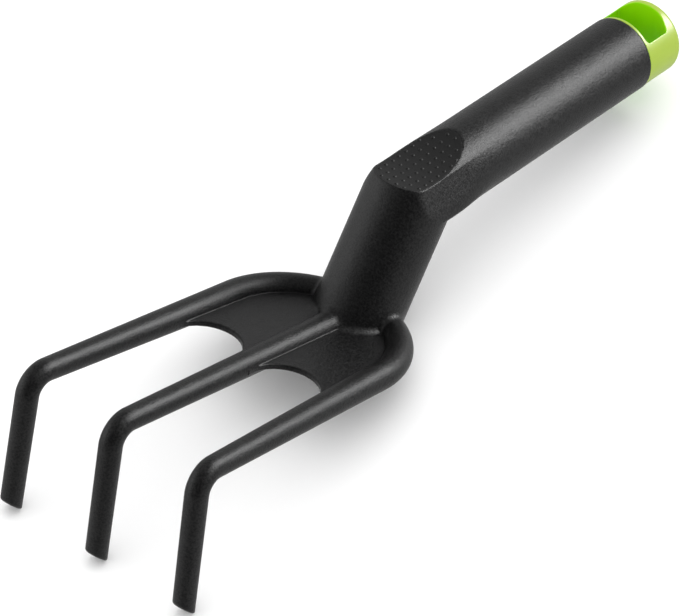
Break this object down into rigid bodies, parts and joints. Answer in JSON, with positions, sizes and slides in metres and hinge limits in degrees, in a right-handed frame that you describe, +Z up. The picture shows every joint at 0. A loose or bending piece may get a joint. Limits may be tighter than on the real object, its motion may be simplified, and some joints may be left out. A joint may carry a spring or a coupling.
{
  "type": "hand cultivator",
  "caption": "One-piece moulded hand cultivator: three bent tines on a webbed fork, an angled neck, a round grip with a dotted thumb rest, and a push-in hanging cap.",
  "frame": {"origin": "on the bench, under the middle of the tool's bounding box, with the tool standing on its tine tips and heel", "axes": "+X forward from the hanging cap to the tines, +Y to the tool's left, +Z up from the bench"},
  "size_m": [0.3402, 0.0956, 0.0605],
  "materials": {
    "body_nylon": "satin, fine spark-eroded grain",
    "thumb_rubber": "matte",
    "cap_plastic": "satin"
  },
  "bodies": {
    "root": {"cultivator_body": "body_nylon", "thumb_pad": "thumb_rubber", "hanging_cap": "cap_plastic"}
  },
  "joints": []
}
